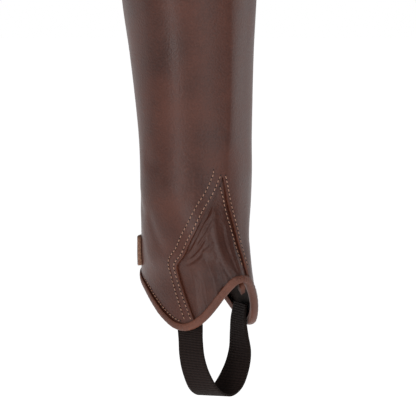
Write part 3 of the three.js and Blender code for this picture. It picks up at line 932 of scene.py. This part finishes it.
@dataclass
class StirrupElastic:
    """The ribbed elastic that hangs in a loop under the foot."""

    shop: Workshop
    width: float = 25.0
    thickness: float = 1.8
    places: tuple[tuple[float, float, float, float], ...] = (
        (-27.4, 27, 17, 19), (-25.6, 27, 4, 15), (-25.8, 28.4, -8, 11), (-26.2, 31, -22, 14),
        (-22.5, 32, -36, 21), (-13.5, 31, -50, 32), (0, 27.7, -55.6, 38), (13.5, 25.6, -50, 28),
        (22.5, 25, -36, 14), (26.6, 24.4, -22, 5), (26.8, 23, -8, -4), (26.6, 22.6, 4, -10),
        (28, 23.4, 17, -15),
    )

    def middle(self, place: float) -> tuple[Vector, float]:
        """The middle line and the swing of the width, at a place along the loop."""
        read = [smooth(tuple(Knot(i, p[c]) for i, p in enumerate(self.places)), place) for c in range(4)]
        return Vector((read[0], -read[1], read[2] - self.shop.form.calf_height)), math.radians(read[3])

    def build(self) -> bpy.types.Object:
        """Makes the band with its serrated edges and gives it its thickness."""
        last = len(self.places) - 1
        steps = 240
        line = []
        for i in range(steps + 1):
            place = last * i / steps
            point, swing = self.middle(place)
            line.append((point, Vector((math.sin(swing), -math.cos(swing), 0))))

        def place(u: float, v: float) -> Vector:
            """Goes along the band with v and across it with u."""
            i = round(v * steps)
            point, across = line[i]
            side = 2 * u - 1
            serration = 0.28 * (1 if i % 2 else -1) * max(0.0, abs(side) * 12 - 11)
            return (point + across * (side * self.width / 2 + math.copysign(serration, side))) * MM

        mesh = self.shop.grid(24, steps, place, (0.025, 0.19))
        bmesh.ops.recalc_face_normals(mesh, faces=mesh.faces)
        made = self.shop.finish(
            "elastic_band", mesh, "elastic", (self.shop.palette.elastic,), ("stirrup_elastic",)
        )
        self.shop.thicken(made, self.thickness, offset=0.0)
        return made


@dataclass
class ClosureTab:
    """The stout leather snap tab over the foot of the zip; its cut edges are pale, partly their own tone and
    partly a painted highlight.
    """

    shop: Workshop
    start: float = 120.0
    end: float = 212.0
    low: float = 46.0
    high: float = 70.5
    lift: float = 0.5
    thickness: float = 3.2
    corner: float = 5.0

    def build(self) -> bpy.types.Object:
        """Makes the tab with round corners at its free end."""
        form = self.shop.form

        def place(u: float, v: float) -> Vector:
            """Runs along the tab with u and up it with v."""
            span = (self.high - self.low) / 2
            walked = u * 75
            drop = 0.0
            if walked < self.corner:
                drop = self.corner - math.sqrt(max(0.0, self.corner**2 - (self.corner - walked) ** 2))
            height = (self.low + self.high) / 2 + (2 * v - 1) * (span - drop * 0.8)
            return form.surface(mix(self.start, self.end, u), height, self.lift + self.thickness)

        mesh = self.shop.grid(70, 16, place, (0.075, 0.025))
        self.shop.face_out(mesh)
        paint = self.shop.palette
        made = self.shop.finish("tab_strap", mesh, "leather", (paint.leather, paint.inside_tone_and_shade, paint.cut_edge_and_highlight),
                                ("closure_tab",))
        self.shop.thicken(made, self.thickness, inside=1, rim=2, rounding=0.5)
        return made


@dataclass
class BackZip:
    """The zip's tapes and teeth; its slider, box and pull keep their own solids."""

    shop: Workshop
    below: float = 2.3
    tape: float = 0.7
    inner: float = 3.1
    outer: float = 15.0
    tooth_pitch: float = 2.1

    def build(self) -> None:
        """Makes both tapes and the teeth."""
        form = self.shop.form
        foot = form.hem(180) + 0.84
        head = form.top(180) - 2
        for side, node in ((1, "zip_tape_outer"), (-1, "zip_tape_inner")):
            def place(u: float, v: float, side: int = side) -> Vector:
                """Runs across the tape with u and up it with v."""
                height = mix(foot, head, v)
                across = side * mix(self.inner, self.outer, u)
                return form.surface(form.back_angle(across, height), height, -self.below)

            mesh = self.shop.grid(8, 120, place, (0.012, 0.37))
            self.shop.face_out(mesh)
            made = self.shop.finish(f"{node}_weave", mesh, "tape", (self.shop.palette.tape,), (node,))
            self.shop.thicken(made, self.tape)
        low, high = foot + 11.3, form.top(180) - 20 - 6.3
        teeth = bmesh.new()
        count = int((high - low) / (self.tooth_pitch / 2))
        for k in range(count):
            side = 1 if k % 2 else -1
            height = low + (k + 0.5) * self.tooth_pitch / 2
            centre = form.surface(form.back_angle(side * 0.9, height), height, -2.0)
            made = bmesh.ops.create_cube(teeth, size=1.0)["verts"]
            for vert in made:
                x, y, z = vert.co
                vert.co = centre + Vector((x * 3.6, y * (1.5 if z > 0 else 2.1), z * 0.85)) * MM
        self.shop.finish("zip_teeth", teeth, "metal", (self.shop.palette.metal,), ("zip_chain",), soft=False)


@dataclass
class Studio:
    """A pale floor, soft lights and a long lens."""

    swing: float = -36.0
    rise: float = 5.0
    distance: float = 2.0
    width: float = 0.33904
    ambient: float = 0.30

    def build(self) -> None:
        """Sets out the floor, the lights and the camera."""
        scene = bpy.context.scene
        scene.view_settings.view_transform = "Standard"
        world = bpy.data.worlds.new("studio")
        scene.world = world
        world.use_nodes = True
        n = Nodes(world.node_tree)
        shown = world.node_tree.nodes["Background"]
        shown.inputs["Color"].default_value = (1, 1, 1, 1)
        ray = n.add("ShaderNodeLightPath")
        level = n.add("ShaderNodeMapRange")
        level.inputs["To Min"].default_value = self.ambient
        level.inputs["To Max"].default_value = 1.0
        n.link(ray.outputs["Is Camera Ray"], level.inputs["Value"])
        n.link(level.outputs["Result"], shown.inputs["Strength"])
        mesh = bmesh.new()
        bmesh.ops.create_circle(mesh, cap_ends=True, segments=64, radius=30)
        bmesh.ops.translate(mesh, verts=mesh.verts, vec=(0, 0, -0.62))
        data = bpy.data.meshes.new("floor")
        mesh.to_mesh(data)
        mesh.free()
        floor = bpy.data.objects.new("floor", data)
        scene.collection.objects.link(floor)
        paint = PlainFinish(
            "pale_floor", (0.95, 0.95, 0.95), (1.0, 1.0, 1.0), 0.9, 0.0, 0.5, 0.75
        ).material()
        data.materials.append(paint)
        self.lamp("key", (-1.55, -0.75, 0.35), 0.20, 1.7, 10)
        self.lamp("shin", (-0.55, -2.1, 0.4), 0.12, 1.6, 8)
        self.lamp("rim", (1.6, -0.3, 0.3), 0.3, 1.4, 3.5)
        self.camera()

    def lamp(
        self, name: str, place: tuple[float, float, float], width: float, height: float, power: float
    ) -> None:
        """Hangs one soft box that looks at the leg."""
        light = bpy.data.lights.new(name, "AREA")
        light.shape = "RECTANGLE"
        light.size = width
        light.size_y = height
        light.energy = power
        lamp = bpy.data.objects.new(name, light)
        bpy.context.scene.collection.objects.link(lamp)
        lamp.location = place
        lamp.rotation_euler = (Vector((0, 0, -0.15)) - Vector(place)).to_track_quat("-Z", "Y").to_euler()

    def camera(self) -> None:
        """Places the camera at the height of the ankle, looking at the outer side of the shin."""
        swing, rise = math.radians(self.swing), math.radians(self.rise)
        right = Vector((math.cos(swing), math.sin(swing), 0))
        back = Vector((math.sin(swing) * math.cos(rise), -math.cos(swing) * math.cos(rise), math.sin(rise)))
        target = right * 0.0098 + Vector((0, 0, -0.2056))
        data = bpy.data.cameras.new("view")
        data.sensor_width = 36
        data.lens = 36 * self.distance / self.width
        camera = bpy.data.objects.new("view", data)
        bpy.context.scene.collection.objects.link(camera)
        camera.location = target + back * self.distance
        camera.rotation_euler = (target - camera.location).to_track_quat("-Z", "Y").to_euler()
        bpy.context.scene.camera = camera


class HalfChap:
    """Builds every piece in order."""

    def __init__(self, nodes: dict[str, bpy.types.Object]) -> None:
        """Keeps the frame's solids and makes the form and the materials."""
        self.nodes = nodes
        self.form = LegForm()
        self.palette = Palette()
        self.shop = Workshop(self.form, self.palette)

    def build(self) -> None:
        panel = MainPanel(self.shop).build()
        gusset = AnkleGusset(self.shop).build()
        binding = EdgeBinding(self.shop)
        hem = binding.build("hem_roll", self.form.hem, 1, 3.6, "hem_binding")
        top = binding.build("top_roll", self.form.top, -1, 3.0, "top_binding")
        elastic = StirrupElastic(self.shop).build()
        tab = ClosureTab(self.shop).build()
        BackZip(self.shop).build()
        self.sew()
        for name in ("zip_slider", "zip_pull", "zip_box", "snap_cap"):
            self.nodes[name].data.materials.clear()
            self.nodes[name].data.materials.append(self.palette.metal)

    def sew(self) -> None:
        """Sews the seams of the gusset and the row above the hem."""
        sewing = Stitching(self.shop)
        foot = self.form.seam_foot(Side.OUTER)
        sewing.rows = [
            sewing.seam_row(Side.OUTER, 2.2, 0.12, foot + 5, 124),
            sewing.seam_row(Side.OUTER, 8.0, 0.12, foot + 7, 128),
            sewing.seam_row(Side.INNER, 2.4, 0.12, 50, 124),
            sewing.seam_row(Side.INNER, -3.4, -2.1, 52, 116),
            sewing.edge_row(self.form.hem, 6.4, 0.12, 118, 66),
        ]
        sewing.build("seam")


def main() -> None:
    """Loads the frame, builds the half chap round it and finishes."""
    logging.basicConfig(level=logging.INFO)
    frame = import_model()
    Studio().build()
    HalfChap(frame["nodes"]).build()


if __name__ == "__main__":
    main()
